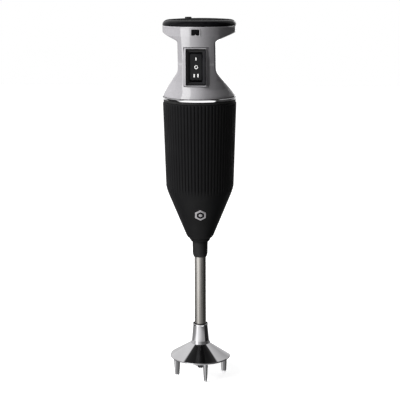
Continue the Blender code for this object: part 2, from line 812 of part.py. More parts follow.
def blade_guard():
    thick = 2.3
    under = [(r, guard_top(r) - thick) for r in (29.4, 10.2)]
    bore = TUBE_R + GAP + 0.05
    profile = [
        (7.3, 56.6),
        (8.1, 56.6),
        (8.1, 55.8),
        (7.75, 54.9),
        (9.2, 38.0),
        (9.9, guard_top(9.9)),
        (GUARD_R - 0.2, guard_top(GUARD_R - 0.2)),
        (GUARD_R, GUARD_RIM_TOP - 0.4),
        (GUARD_R, 21.4),
        (GUARD_R - 0.3, 21.1),
        (29.7, 21.1),
        *under,
        (9.2, 27.0),
        (5.9, 27.0),
        (5.9, 35.9),
        (bore, 35.9),
        (bore, 53.2),
        (7.1, 53.6),
    ]
    guard = turned("blade_guard", profile, CHROME, steps=40)
    for i in range(LEG_COUNT):
        use(guard, leg(i), "UNION")


def blade():
    """Two opposed wings on a round hub, one bent up and one down, held by a domed nut."""
    middle = 14.1
    thick = 1.2
    turn = 35
    hub = sleeve("blade", 2.3, 5.4, (middle - thick / 2, middle + thick / 2), STEEL, steps=20)
    bend_at = 4.6
    outline = [
        (4.0, -2.9),
        (10.0, -2.9),
        (BLADE_R - 1.2, -1.4),
        (BLADE_R, 0.6),
        (BLADE_R - 0.8, 2.4),
        (10.0, 3.1),
        (4.0, 3.1),
    ]
    for label, side, tilt in (("raised", 1, -12), ("lowered", -1, 4)):
        wing = [(side * x, side * y) for x, y in outline]
        lift = side * bend_at * math.sin(math.radians(tilt))
        at = (0, 0, middle + lift)
        use(hub, plate("wing_" + label, [wing], thick, STEEL, (0, tilt, turn), at), "UNION")
    nut = [(3.9, 13.2), (3.9, 10.4), (3.3, 8.0), (2.4, 7.1), (0, 7.0)]
    turned("blade_nut", nut_profile(nut), DARK_STEEL, ring=False, steps=16)


def nut_profile(outer):
    """The nut's outline from the floor of its blind thread, over the rim and down its outside."""
    return [(0, 8.4), (2.3, 8.4), (2.3, 13.2)] + outer


def main():
    global PARTS, CUTTERS
    clear_scene()
    PARTS = new_collection("immersion_blender")
    CUTTERS = new_collection("cutters")
    upper_housing()
    housing_screws()
    top_cap()
    switch_frame()
    switch_body()
    rocker()
    switch_wiring()
    joint_rings()
    motor_housing()
    badge()
    stator()
    motor_bolts()
    brackets()
    brush_gear()
    rotor()
    stem()
    blade_guard()
    blade()


main()
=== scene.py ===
"""The looks of the hand blender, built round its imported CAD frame.

Lengths are millimetres until a mesh is made, and span() reads the frame's boxes in millimetres.
"""

import json
import math

import bmesh
import bpy
import numpy as np
from mathutils import Matrix, Vector


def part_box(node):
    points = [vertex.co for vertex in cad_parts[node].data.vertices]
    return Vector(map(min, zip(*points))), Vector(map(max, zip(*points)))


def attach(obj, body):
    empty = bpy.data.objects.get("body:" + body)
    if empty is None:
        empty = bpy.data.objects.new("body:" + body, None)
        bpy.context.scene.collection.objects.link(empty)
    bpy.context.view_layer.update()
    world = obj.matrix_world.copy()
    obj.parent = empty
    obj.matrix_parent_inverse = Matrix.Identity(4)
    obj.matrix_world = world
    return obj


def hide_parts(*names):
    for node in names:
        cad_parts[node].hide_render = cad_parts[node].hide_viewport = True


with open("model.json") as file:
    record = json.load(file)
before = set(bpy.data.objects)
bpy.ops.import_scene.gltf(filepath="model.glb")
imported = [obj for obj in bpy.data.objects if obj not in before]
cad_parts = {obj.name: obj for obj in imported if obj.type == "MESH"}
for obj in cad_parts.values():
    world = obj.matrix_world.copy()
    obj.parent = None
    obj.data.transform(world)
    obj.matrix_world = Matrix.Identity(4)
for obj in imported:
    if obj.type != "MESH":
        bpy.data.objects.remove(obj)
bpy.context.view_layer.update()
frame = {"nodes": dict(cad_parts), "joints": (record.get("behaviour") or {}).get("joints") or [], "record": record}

MM = 0.001


def span(node):
    """A CAD node's lowest and highest corners in millimetres."""
    low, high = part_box(node)
    return low / MM, high / MM


def middle(node):
    low, high = span(node)
    return (low + high) / 2


# ---------------------------------------------------------------- materials


class Look:
    """A Principled material under construction: constants on the shader, detail from textures."""

    def __init__(self, name, colour, roughness, metallic=0.0, **sockets):
        self.material = bpy.data.materials.new(name)
        self.material.use_nodes = True
        self.tree = self.material.node_tree
        self.shader = self.tree.nodes["Principled BSDF"]
        self.shader.inputs["Base Color"].default_value = (*colour, 1)
        self.shader.inputs["Roughness"].default_value = roughness
        self.shader.inputs["Metallic"].default_value = metallic
        for socket, value in sockets.items():
            self.shader.inputs[socket.replace("_", " ")].default_value = value
        self.place = self.node("TexCoord").outputs["Object"]
        self.bumps = None

    def node(self, kind, **settings):
        made = self.tree.nodes.new("ShaderNode" + kind)
        for name, value in settings.items():
            setattr(made, name, value)
        return made

    def link(self, output, target):
        self.tree.links.new(output, target)

    def noise(self, scale, detail=3.0, stretch=(1, 1, 1)):
        """Fractal noise of that many cycles per metre, finer along an axis by its stretch."""
        mapping = self.node("Mapping")
        mapping.inputs["Scale"].default_value = stretch
        self.link(self.place, mapping.inputs["Vector"])
        made = self.node("TexNoise")
        made.inputs["Scale"].default_value = scale
        made.inputs["Detail"].default_value = detail
        self.link(mapping.outputs["Vector"], made.inputs["Vector"])
        return made.outputs["Fac"]

    def bands(self, pitch, axis="Z", wobble=0.0):
        """Parallel bands, one for each pitch in millimetres."""
        made = self.node("TexWave", wave_type="BANDS", bands_direction=axis)
        made.inputs["Scale"].default_value = 1 / (pitch * MM) * 0.05 * math.tau
        made.inputs["Distortion"].default_value = wobble
        self.link(self.place, made.inputs["Vector"])
        return made.outputs["Fac"]

    def cells(self, scale):
        """A random value for each small cell, as of metal flakes or grains."""
        made = self.node("TexVoronoi")
        made.inputs["Scale"].default_value = scale
        self.link(self.place, made.inputs["Vector"])
        return made.outputs["Color"]

    def ramp(self, fac, *stops):
        """A colour for each place along a value; the stops are (place, colour)."""
        made = self.node("ValToRGB")
        elements = made.color_ramp.elements
        while len(elements) < len(stops):
            elements.new(0.5)
        for element, (place, colour) in zip(elements, stops):
            element.position = place
            element.color = (*colour, 1)
        self.link(fac, made.inputs["Fac"])
        return made.outputs["Color"]

    def between(self, fac, low, high, start=0.3, end=0.7):
        made = self.node("MapRange")
        for name, value in (("From Min", start), ("From Max", end), ("To Min", low), ("To Max", high)):
            made.inputs[name].default_value = value
        self.link(fac, made.inputs["Value"])
        return made.outputs["Result"]

    def colour(self, output):
        self.link(output, self.shader.inputs["Base Color"])

    def rough(self, output):
        self.link(output, self.shader.inputs["Roughness"])

    def bump(self, height, depth, strength=1.0):
        """Relief of that depth in millimetres; a second call adds to the first."""
        made = self.node("Bump")
        made.inputs["Distance"].default_value = depth * MM
        made.inputs["Strength"].default_value = strength
        self.link(height, made.inputs["Height"])
        if self.bumps:
            self.link(self.bumps, made.inputs["Normal"])
        self.bumps = made.outputs["Normal"]
        self.link(self.bumps, self.shader.inputs["Normal"])

    def edges(self):
        """High on outer edges and low in corners."""
        return self.node("NewGeometry").outputs["Pointiness"]


def silver_paint():
    """Metallic grey paint under clear lacquer, with fine flakes and slight handling marks."""
    coat = {"Coat_Weight": 1.0, "Coat_Roughness": 0.05, "Coat_IOR": 3.2}
    look = Look("silver_paint", (0.3, 0.29, 0.308), 0.55, 0.2, **coat)
    flakes = look.cells(3200)
    look.colour(look.ramp(flakes, (0.2, (0.27, 0.261, 0.278)), (0.8, (0.33, 0.319, 0.338))))
    look.rough(look.between(look.noise(45), 0.48, 0.62))
    look.bump(look.noise(900, 2), 0.004)
    return look.material


def black_gloss():
    """Polished black plastic with a trace of orange peel, dust and fine scuffs."""
    look = Look("black_gloss", (0.004, 0.004, 0.0045), 0.12, IOR=1.14)
    scuffs = look.noise(260, 6, (1, 1, 5))
    look.colour(look.ramp(scuffs, (0.35, (0.003, 0.003, 0.0035)), (0.8, (0.008, 0.008, 0.009))))
    look.rough(look.between(scuffs, 0.08, 0.2))
    look.bump(look.noise(240, 2), 0.006)
    return look.material


def black_satin():
    """Moulded soft-touch black with a fine spark texture: painted shade darkens the grooves and inner corners, and
    outer edges stay at the base black, a touch lighter where a hand rubs them.
    """
    look = Look("black_satin", (0.007, 0.007, 0.0078), 0.6, Specular_IOR_Level=0.19)
    rub_and_groove_shade = look.edges()
    # Painted shade: the colour drops towards black in the grooves and inner corners, and stays at the base black
    # on outer edges.
    look.colour(look.ramp(rub_and_groove_shade, (0.46, (0.002, 0.002, 0.0022)), (0.56, (0.0075, 0.0075, 0.0083))))
    look.rough(look.between(look.noise(60), 0.54, 0.66))
    look.bump(look.noise(2600, 3), 0.02)
    return look.material


def black_rubber():
    look = Look("black_rubber", (0.01, 0.01, 0.01), 0.62, Specular_IOR_Level=0.35)
    look.colour(look.ramp(look.noise(90, 5), (0.35, (0.008, 0.008, 0.008)), (0.75, (0.015, 0.015, 0.0155))))
    look.rough(look.between(look.noise(400), 0.5, 0.72))
    look.bump(look.noise(1900, 4), 0.025)
    return look.material


def switch_black():
    look = Look("switch_black", (0.008, 0.008, 0.009), 0.4, Specular_IOR_Level=0.22)
    look.colour(look.ramp(look.noise(150, 4), (0.3, (0.007, 0.007, 0.008)), (0.8, (0.011, 0.011, 0.012))))
    look.rough(look.between(look.noise(300), 0.34, 0.48))
    look.bump(look.noise(3000, 2), 0.01)
    return look.material


def chrome():
    """Bright plate: clean with soft smears, hairline scratches and a faint ripple of the casting below."""
    look = Look("chrome", (0.72, 0.715, 0.73), 0.06, 1.0)
    smears = look.noise(55, 5)
    look.colour(look.ramp(smears, (0.3, (0.68, 0.675, 0.69)), (0.7, (0.76, 0.755, 0.77))))
    look.rough(look.between(smears, 0.03, 0.08))
    look.bump(look.noise(1400, 6, (1, 1, 0.15)), 0.003)
    look.bump(look.noise(70, 2), 0.02)
    return look.material


def brushed_steel():
    """Drawn tube, brushed along its length."""
    look = Look("brushed_steel", (0.60, 0.575, 0.545), 0.24, 1.0, Anisotropic=0.45)
    tangent = look.node("Tangent", direction_type="RADIAL", axis="Z")
    look.link(tangent.outputs["Tangent"], look.shader.inputs["Tangent"])
    lines = look.noise(2600, 4, (1, 1, 0.012))
    look.colour(look.ramp(lines, (0.3, (0.54, 0.515, 0.485)), (0.7, (0.66, 0.64, 0.61))))
    look.rough(look.between(lines, 0.17, 0.32))
    look.bump(lines, 0.006)
    return look.material


def badge_silver():
    look = Look("badge_silver", (0.42, 0.405, 0.42), 0.4, 0.6)
    lines = look.noise(1800, 4, (0.03, 1, 1))
    look.colour(look.ramp(lines, (0.3, (0.38, 0.366, 0.38)), (0.7, (0.46, 0.445, 0.46))))
    look.rough(look.between(lines, 0.34, 0.5))
    look.bump(lines, 0.004)
    return look.material


def mark_white():
    """Pad-printed ink on the switch."""
    look = Look("mark_white", (0.8, 0.8, 0.79), 0.5)
    look.colour(look.ramp(look.noise(700, 4), (0.3, (0.72, 0.72, 0.71)), (0.6, (0.84, 0.84, 0.83))))
    look.bump(look.noise(1500), 0.01)
    return look.material


def dark_metal(name, low, high, roughness):
    """Passivated or blackened steel with worn edges."""
    look = Look(name, low, roughness, 1.0)
    look.colour(look.ramp(look.edges(), (0.48, low), (0.6, high)))
    look.rough(look.between(look.noise(500, 4), roughness - 0.08, roughness + 0.12))
    look.bump(look.noise(1300, 4), 0.01)
    return look.material


def lamination():
    """Stacked half-millimetre sheets of varnished steel."""
    look = Look("lamination", (0.2, 0.2, 0.21), 0.45, 0.9)
    sheets = look.bands(0.5)
    look.colour(look.ramp(sheets, (0.1, (0.06, 0.06, 0.065)), (0.4, (0.22, 0.22, 0.23))))
    look.rough(look.between(look.noise(200), 0.38, 0.55))
    look.bump(sheets, 0.05)
    return look.material


def copper_wire():
    """Enamelled wire laid in tight turns, with painted shade in the crevices between them."""
    look = Look("copper_wire", (0.7, 0.3, 0.13), 0.35, 0.9, Coat_Weight=0.5)
    turns = look.bands(0.45, wobble=0.6)
    # Painted shade: the thin dark lines between the turns stand for shade in the crevices; the same bands give the
    # turns their relief.
    look.colour(look.ramp(turns, (0.05, (0.16, 0.05, 0.02)), (0.4, (0.72, 0.33, 0.15))))
    look.rough(look.between(look.noise(300), 0.28, 0.45))
    look.bump(turns, 0.12)
    return look.material


def sheet_metal(name, dark, light, roughness):
    look = Look(name, light, roughness, 1.0)
    stains = look.noise(120, 5)
    look.colour(look.ramp(stains, (0.3, dark), (0.65, light)))
    look.rough(look.between(stains, roughness + 0.12, roughness - 0.05))
    look.bump(look.noise(2000, 3), 0.008)
    return look.material


def grained(name, dark, light, roughness, scale, depth):
    """A pressed or moulded material with a visible grain."""
    look = Look(name, light, roughness)
    grains = look.noise(scale, 5)
    look.colour(look.ramp(grains, (0.35, dark), (0.65, light)))
    look.rough(look.between(grains, roughness - 0.1, roughness + 0.1))
    look.bump(grains, depth)
    return look.material


LOOKS = {
    "silver_housing": silver_paint(),
    "black_gloss": black_gloss(),
    "black_satin": black_satin(),
    "black_rubber": black_rubber(),
    "switch_black": switch_black(),
    "chrome": chrome(),
    "brushed_steel": brushed_steel(),
    "badge_silver": badge_silver(),
    "screw_steel": dark_metal("screw_steel", (0.10, 0.10, 0.10), (0.32, 0.31, 0.30), 0.38),
    "lamination": lamination(),
    "copper": copper_wire(),
    "brass": sheet_metal("brass", (0.52, 0.38, 0.16), (0.78, 0.6, 0.3), 0.28),
    "bronze": grained("bronze", (0.2, 0.13, 0.06), (0.5, 0.36, 0.2), 0.45, 1800, 0.03),
    "carbon": grained("carbon", (0.012, 0.012, 0.012), (0.05, 0.05, 0.05), 0.55, 2200, 0.02),
    "nylon": grained("nylon", (0.7, 0.69, 0.63), (0.83, 0.82, 0.77), 0.45, 500, 0.015),
    "capacitor_blue": grained("capacitor_blue", (0.03, 0.1, 0.28), (0.06, 0.17, 0.42), 0.35, 260, 0.04),
    "dark_nut": dark_metal("dark_nut", (0.03, 0.03, 0.032), (0.14, 0.14, 0.14), 0.42),
}
MARK_WHITE = mark_white()

for subpart in frame["record"]["subparts"]:
    cad_mesh = frame["nodes"][subpart["node"]].data
    cad_mesh.materials.clear()
    cad_mesh.materials.append(LOOKS[subpart["material_slot"]])


# ---------------------------------------------------------------- mesh helpers


def build(name, points, faces):
    """An object from points in millimetres, faces outwards."""
    mesh = bpy.data.meshes.new(name)
    mesh.from_pydata([Vector(point) * MM for point in points], [], [tuple(face) for face in faces])
    shape = bmesh.new()
    shape.from_mesh(mesh)
    bmesh.ops.recalc_face_normals(shape, faces=shape.faces)
    shape.to_mesh(mesh)
    shape.free()
    obj = bpy.data.objects.new(name, mesh)
    bpy.context.scene.collection.objects.link(obj)
    return obj


def carve(obj, *tools, operation="DIFFERENCE"):
    """Cuts, joins or crosses obj with the tools for good, and removes them."""
    for tool in tools:
        modifier = obj.modifiers.new("Carve", "BOOLEAN")
        modifier.operation = operation
        modifier.solver = "MANIFOLD"
        modifier.object = tool
    graph = bpy.context.evaluated_depsgraph_get()
    made = bpy.data.meshes.new_from_object(obj.evaluated_get(graph))
    obj.modifiers.clear()
    obj.data = made
    for tool in tools:
        bpy.data.objects.remove(tool)
    return obj


def piece(obj, slot, body="housing", replaces=(), look=None, smooth=32):
    """Finishes an object as a visible piece: its material, shading and what it stands for.

    A piece with a look that the record has no slot for gives the look, and no slot.
    """
    obj.data.materials.clear()
    obj.data.materials.append(look or LOOKS[slot])
    obj.data.shade_smooth()
    obj.data.set_sharp_from_angle(angle=math.radians(smooth))
    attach(obj, body)
    if replaces:
        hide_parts(*replaces)
    return obj


def filleted(corners, closed=True, steps=5):
    """An outline from (u, v, radius) corners, each turned into an arc of that radius."""
    outline = []
    last = len(corners) - 1
    for i, (u, v, radius) in enumerate(corners):
        here = Vector((u, v))
        if not radius or (not closed and i in (0, last)):
            outline.append(here)
            continue
        before = (Vector(corners[i - 1][:2]) - here).normalized()
        after = (Vector(corners[(i + 1) % len(corners)][:2]) - here).normalized()
        half = before.angle(after) / 2
        centre = here + (before + after).normalized() * radius / math.sin(half)
        first = here + before * radius / math.tan(half) - centre
        turn = first.angle_signed(here + after * radius / math.tan(half) - centre)
        for step in range(steps + 1):
            outline.append(centre + Matrix.Rotation(-turn * step / steps, 2) @ first)
    return outline


def loft(name, loops, ring=False, poles=()):
    """Joins closed loops of equally many points; a ring's last loop meets its first again.

    The ends are flat, or cones to the two poles where those are given.
    """
    count = len(loops[0])
    points = [point for loop in loops for point in loop]
    faces = []
    pairs = list(zip(range(len(loops)), range(1, len(loops))))
    if ring:
        pairs.append((len(loops) - 1, 0))
    for a, b in pairs:
        for i in range(count):
            j = (i + 1) % count
            faces.append((a * count + i, a * count + j, b * count + j, b * count + i))
    for pole, start in zip(poles, (0, (len(loops) - 1) * count)):
        points.append(pole)
        faces += [(start + i, start + (i + 1) % count, len(points) - 1) for i in range(count)]
    if not ring and not poles:
        faces.append(range(count))
        faces.append(range((len(loops) - 1) * count, len(loops) * count))
    return build(name, points, faces)


def turned(name, profile, ring=True, steps=144, at=(0, 0)):
    """Turns an (r, z, fillet) profile about Z; one that isn't a ring starts and ends on the axis."""
    outline = filleted(profile, closed=ring)
    poles = []
    if not ring:
        poles = [(at[0], at[1], outline[i][1]) for i in (0, -1)]
        outline = outline[1:-1]
    loops = []
    for r, z in outline:
        angles = (math.tau * i / steps for i in range(steps))
        loops.append([(at[0] + r * math.cos(a), at[1] + r * math.sin(a), z) for a in angles])
    return loft(name, loops, ring, poles)


def rectangle(width, height, radius, steps=6):
    w, h = width / 2, height / 2
    corners = [(-w, -h), (w, -h), (w, h), (-w, h)]
    return filleted([(u, v, radius) for u, v in corners], steps=steps)


def front_loop(centre, y, width, height, radius):
    """A rounded rectangle in the plane of that y."""
    return [(centre[0] + u, y, centre[2] + v) for u, v in rectangle(width, height, radius)]


def block(name, low, high):
    """A plain box, used only as a tool."""
    xs, ys, zs = zip(low, high)
    points = [(x, y, z) for x in xs for y in ys for z in zs]
    faces = [(0, 1, 3, 2), (4, 6, 7, 5), (0, 4, 5, 1), (2, 3, 7, 6), (0, 2, 6, 4), (1, 5, 7, 3)]
    return build(name, points, faces)


def pin(name, radius, start, end, sides=32):
    """A cylinder from one point to another, used only as a tool."""
    way = Vector(end) - Vector(start)
    turn = way.to_track_quat("Z", "Y")
    loops = []
    for share in (0, 1):
        loop = []
        for i in range(sides):
            angle = math.tau * i / sides
            around = Vector((radius * math.cos(angle), radius * math.sin(angle), 0))
            loop.append(Vector(start) + way * share + turn @ around)
        loops.append(loop)
    return loft(name, loops)


# ---------------------------------------------------------------- upper housing

HOUSING_LOW, HOUSING_HIGH = span("housing_front")
HEAD_R = HOUSING_HIGH.x
FOOT = HOUSING_LOW.z
HEAD_TOP = HOUSING_HIGH.z
NECK_HALF_WIDTH = 18.8
WAIST_TOP = FOOT + 56.3
WAIST_BOTTOM = FOOT + 26.4
HEAD_SLOPE = math.radians(21.7)
FLARE_SLOPE = math.radians(54.2)
WALL = 2.2
FRONT_OUTLINE = [  # height above the foot and radius
    (0.0, HEAD_R - 0.45),
    (1.6, HEAD_R - 0.45),
    (2.8, HEAD_R - 0.75),
    (9.0, HEAD_R - 2.7),
    (16.4, HEAD_R - 3.5),
    (34.4, HEAD_R - 3.5),
    (48.4, HEAD_R - 2.0),
    (61.4, HEAD_R - 0.15),
    (70.1, HEAD_R - 0.15),
]
LIP = [(68.4, 0.0), (68.65, 0.1), (69.5, 0.1), (70.1, -0.25)]  # height, and what is added under the cap
ZONES = [  # heights above the foot between which rings lie that far apart
    (0.0, 3.4, 0.4),
    (3.4, 8.4, 1.0),
    (8.4, 9.9, 0.3),
    (9.9, 24.9, 0.75),
    (24.9, 27.9, 0.3),
    (27.9, 54.9, 3.0),
    (54.9, 64.0, 0.3),
    (64.0, 68.2, 1.0),
    (68.2, 70.1, 0.15),
]
SEAM = 0.3
FIT = 0.3
SIDES = ("left", "right")
HOUSING_SCREWS = [f"housing_screw_{level}_{side}" for level in ("upper", "lower") for side in SIDES]
SCREW_HEAD_HEIGHT = 1.8
SCREW_SHANK_R = 1.15
BOSS_R = 4.6
VENT_COUNT = 5
VENT_PITCH = 4.6
VENT_TOP = FOOT + 42.4
VENT_SIZE = (16.0, 1.8)


def smooth_max(a, b, reach):
    return np.maximum(a, b) + np.maximum(reach - np.abs(a - b), 0) ** 2 / (4 * reach)


def smooth_min(a, b, reach):
    return -smooth_max(-a, -b, reach)


def front_radius(z, wall):
    """The round part's radius at a height, with its corners eased."""
    height = z - FOOT
    places, radii = zip(*FRONT_OUTLINE)
    eased = [np.interp(height + shift, places, radii) for shift in np.linspace(-0.7, 0.7, 8)]
    if wall:
        return np.mean(eased, axis=0) - wall
    return np.mean(eased, axis=0) + np.interp(height, *zip(*LIP))


def half_width(z, wall):
    """Half the distance between the flat sides at a height."""
    neck = np.full_like(z, NECK_HALF_WIDTH - wall)
    head = NECK_HALF_WIDTH + (z - WAIST_TOP) / math.tan(HEAD_SLOPE) - wall / math.sin(HEAD_SLOPE)
    flare = NECK_HALF_WIDTH + (WAIST_BOTTOM - z) / math.tan(FLARE_SLOPE) - wall / math.sin(FLARE_SLOPE)
    return smooth_max(smooth_max(neck, head, 3.5), flare, 2.5)


def housing_solid(name, heights, angles, wall):
    """The upper housing's body, or with a wall the cavity in it, as rings of points about the axis."""
    z = np.array(heights)[:, None]
    angle = np.array(angles)[None, :]
    side = half_width(z, wall) / np.maximum(np.abs(np.cos(angle)), 0.05)
    r = smooth_min(front_radius(z, wall), side, 2.6)
    if not wall:
        r = r - 0.3 * np.exp(-((r * np.sin(angle) / 0.32) ** 2))  # the parting line's groove
    loops = []
    for i, height in enumerate(heights):
        loops.append([(x, y, height) for x, y in zip(r[i] * np.cos(angles), r[i] * np.sin(angles))])
    return loft(name, loops)


def fine_angles():
    """A degree apart, and closer at the parting line."""
    near = [0.2, 0.4, 0.65]
    degrees = set(range(360))
    for middle_at in (0, 180):
        degrees |= {(middle_at + side * step) % 360 for step in near for side in (-1, 1)}
    return np.radians(sorted(degrees))


def fine_heights():
    heights = []
    for start, end, pitch in ZONES:
        count = max(1, round((end - start) / pitch))
        heights += [start + (end - start) * i / count for i in range(count)]
    return [FOOT + height for height in heights + [HEAD_TOP - FOOT]]


def housing_cavity():
    rough_heights = [FOOT - 3, *fine_heights()[1:-1:3], HEAD_TOP + 3]
    cavity = housing_solid("cavity", rough_heights, np.radians(np.arange(0, 360, 3)), WALL)
    bosses = []
    for name in HOUSING_SCREWS:
        x, _, z = middle(name)
        bosses.append(pin("boss", BOSS_R, (x, -60, z), (x, 60, z)))
    return carve(cavity, *bosses)


def housing_half(name, front):
    """One half of the upper housing; the other half's space is cut away along the parting line."""
    half = housing_solid(name, fine_heights(), fine_angles(), 0.0)
    sign = -1 if front else 1
    ys = sorted((sign * SEAM / 2, -sign * 60))
    other = block("other_half", (-60, ys[0], FOOT - 10), (60, ys[1], HEAD_TOP + 10))
    return carve(carve(half, housing_cavity()), other)


def housing_front():
    front = housing_half("upper_housing_front", True)
    low, high = span("switch_frame")
    switch = block("switch_hole", (low.x - FIT, -50, low.z - FIT), (high.x + FIT, high.y, high.z + FIT))
    centre = middle("cap_latch")
    window = [front_loop(centre, y, LATCH_WIDTH, LATCH_HEIGHT, 0.9) for y in (-50, -30)]
    carve(front, switch, loft("latch_window", window))
    piece(front, "silver_housing", replaces=["housing_front"])


def housing_rear():
    rear = housing_half("upper_housing_rear", False)
    tools = []
    for name in HOUSING_SCREWS:
        low, high = span(name)
        x, _, z = (low + high) / 2
        head_r = (high.x - low.x) / 2
        seat = high.y - SCREW_HEAD_HEIGHT - FIT
        tools.append(pin("well", head_r + 0.35, (x, seat, z), (x, 60, z), sides=48))
        tools.append(pin("shank_hole", SCREW_SHANK_R + FIT, (x, -5, z), (x, seat + 1, z)))
    for i in range(VENT_COUNT):
        z = VENT_TOP - i * VENT_PITCH
        slot = [front_loop((0, 0, z), y, *VENT_SIZE, 0.85) for y in (25, 45)]
        tools.append(loft("vent", slot))
    carve(rear, *tools)
    piece(rear, "silver_housing", replaces=["housing_rear"])


def pan_screw(name):
    """A pan-head screw with a cross recess, along Y with its head at the rear."""
    low, high = span(name)
    x, _, z = (low + high) / 2
    head_r = (high.x - low.x) / 2
    rim = high.y - SCREW_HEAD_HEIGHT
    profile = [
        (0, high.y, 0),
        (head_r * 0.7, high.y - 0.12, 1.0),
        (head_r, high.y - 0.9, 0.5),
        (head_r, rim, 0.1),
        (SCREW_SHANK_R, rim, 0.1),
        (SCREW_SHANK_R, low.y + 1.2, 0),
        (0, low.y, 0),
    ]
    screw = turned(name + "_fine", profile, ring=False, steps=40)
    lie_down = Matrix.Rotation(math.radians(-90), 4, "X")
    screw.data.transform(Matrix.Translation(Vector((x, 0, z)) * MM) @ lie_down)
    for width, height in ((3.2, 0.65), (0.65, 3.2)):
        cut_low = (x - width / 2, high.y - 0.9, z - height / 2)
        cut_high = (x + width / 2, high.y + 1, z + height / 2)
        carve(screw, block("recess", cut_low, cut_high))
    piece(screw, "screw_steel", replaces=[name])


# ---------------------------------------------------------------- cap, latch and gland

LATCH_WIDTH = 7.7
LATCH_HEIGHT = 5.8
CROWN_R = 30.8
CROWN_RISE = 1.1  # of the cap's middle over the start of its rounded edge
EDGE_DROP = 5.0


def top_cap():
    """The domed gloss cover, with its skirt inside the head."""
    low, high = span("top_cap")
    crown_top = high.z - 0.4
    edge_top = crown_top - CROWN_RISE
    edge_out = high.x - CROWN_R
    crown = [(r, crown_top - CROWN_RISE * (r / CROWN_R) ** 2, 0) for r in np.linspace(0, CROWN_R, 9)]
    edge = []
    for angle in np.linspace(0, math.pi / 2, 12)[1:]:
        drop = EDGE_DROP * (1 - math.cos(angle))
        edge.append((CROWN_R + edge_out * math.sin(angle), edge_top - drop, 0))
    underside = HEAD_TOP + FIT
    skirt_r = HEAD_R - WALL - 0.5
    inside = [
        (high.x - 0.25, underside, 0),
        (skirt_r, underside, 0),
        (skirt_r, low.z, 0.3),
        (skirt_r - 1.7, low.z, 0.3),
        (skirt_r - 1.7, low.z + 7.4, 0.8),
        (skirt_r - 4, low.z + 8.4, 0.8),
        (0, low.z + 9, 0),
    ]
    cap = turned("cap_cover", crown + edge + inside, ring=False, steps=192)
    x, y, _ = middle("cord_gland")
    carve(cap, pin("gland_hole", 3.7, (x, y, low.z), (x, y, high.z + 10), sides=48))
    piece(cap, "black_gloss", replaces=["top_cap"])


def cord_gland():
    """The cord's empty inlet bush, with a soft lip."""
    low, high = span("cord_gland")
    r = (high.x - low.x) / 2
    profile = [(2.4, high.z, 0.25), (r, high.z, 0.35), (r, low.z, 0.2), (2.4, low.z, 0.2)]
    gland = turned("gland_bush", profile, steps=64, at=middle("cord_gland")[:2])
    piece(gland, "black_rubber", replaces=["cord_gland"])


def latch():
    """The cap's release button: a dark insert, notched below, in a raised silver surround."""
    low, high = span("cap_latch")
    centre = middle("cap_latch")
    surface = -front_radius(np.array([centre.z]), 0.0)[0]
    width, height = high.x - low.x, high.z - low.z
    loops = [
        front_loop(centre, high.y, width, height, 0.75),
        front_loop(centre, low.y + 0.25, width, height, 0.75),
        front_loop(centre, low.y + 0.07, width - 0.15, height - 0.15, 0.7),
        front_loop(centre, low.y, width - 0.5, height - 0.5, 0.6),
    ]
    insert = loft("latch_button", loops)
    notch = [
        (centre.x - 1.25, centre.z - height / 2 - 0.2, 0.1),
        (centre.x, centre.z - height / 2 + 1.2, 0.35),
        (centre.x + 1.25, centre.z - height / 2 - 0.2, 0.1),
    ]
    outline = filleted(notch)
    carve(insert, loft("notch", [[(u, y, v) for u, v in outline] for y in (-50, -30)]))
    piece(insert, "black_gloss", replaces=["cap_latch"])
    tab = loft("latch_tab", [[(u, y, v - 0.35) for u, v in outline] for y in (surface - 0.3, high.y)])
    piece(tab, "silver_housing")
    rim = 1.15
    back = surface + 0.9
    steps = [(rim, back), (rim, surface - 0.1), (rim - 0.3, surface - 0.32), (0.3, surface - 0.32)]
    steps += [(0.05, surface - 0.1), (0.05, back)]
    surround = []
    for out, y in steps:
        surround.append(front_loop(centre, y, LATCH_WIDTH + 2 * out, LATCH_HEIGHT + 2 * out, 0.9 + out))
    piece(loft("latch_surround", surround, ring=True), "silver_housing")


# ---------------------------------------------------------------- switch

FRAME_LOW, FRAME_HIGH = span("switch_frame")
SWITCH_AT = middle("switch_frame")
OPENING = (20.0, 35.6)
PADDLE_WIDTH = 11.4
PADDLE_EDGE = 0.55
PIVOT = Vector(next(j["pos_m"] for j in frame["joints"] if j["name"] == "rocker_tilt")) / MM
PADDLE_END_R = (span("rocker")[1].z - span("rocker")[0].z) / 2
FACE_MIDDLE = -4.3  # from the pivot, at the paddle's middle and ends
FACE_END = FACE_MIDDLE - 1.3
MARK_PROUD = 0.1


def switch_frame():
    """The surround: sides that slope up to the opening, with a narrow flat only above and below it."""
    width, height = FRAME_HIGH.x - FRAME_LOW.x, FRAME_HIGH.z - FRAME_LOW.z
    face, back = FRAME_LOW.y, FRAME_HIGH.y
    foot = (width + 2.0, height + 0.4)
    steps = [(back, width, height, 1.5), (face + 4.0, width, height, 1.5)]
    steps += [(face + 3.9, *foot, 2.0), (face + 3.4, *foot, 2.0)]
    edge = [  # depth behind the face, what is added to the opening's width and height, corner radius
        (0.15, 0.4, 1.6, 1.1),
        (0.02, 0.26, 1.3, 1.0),
        (0, 0.2, 1.0, 0.9),
        (0, 0.12, 0.3, 0.8),
        (0.06, 0.04, 0.06, 0.7),
    ]
    steps += [(face + depth, OPENING[0] + wider, OPENING[1] + taller, r) for depth, wider, taller, r in edge]
    steps += [(face + 0.5, *OPENING, 0.7), (back, *OPENING, 0.7)]
    loops = [front_loop(SWITCH_AT, *step) for step in steps]
    piece(loft("switch_surround", loops, ring=True), "silver_housing", replaces=["switch_frame"])


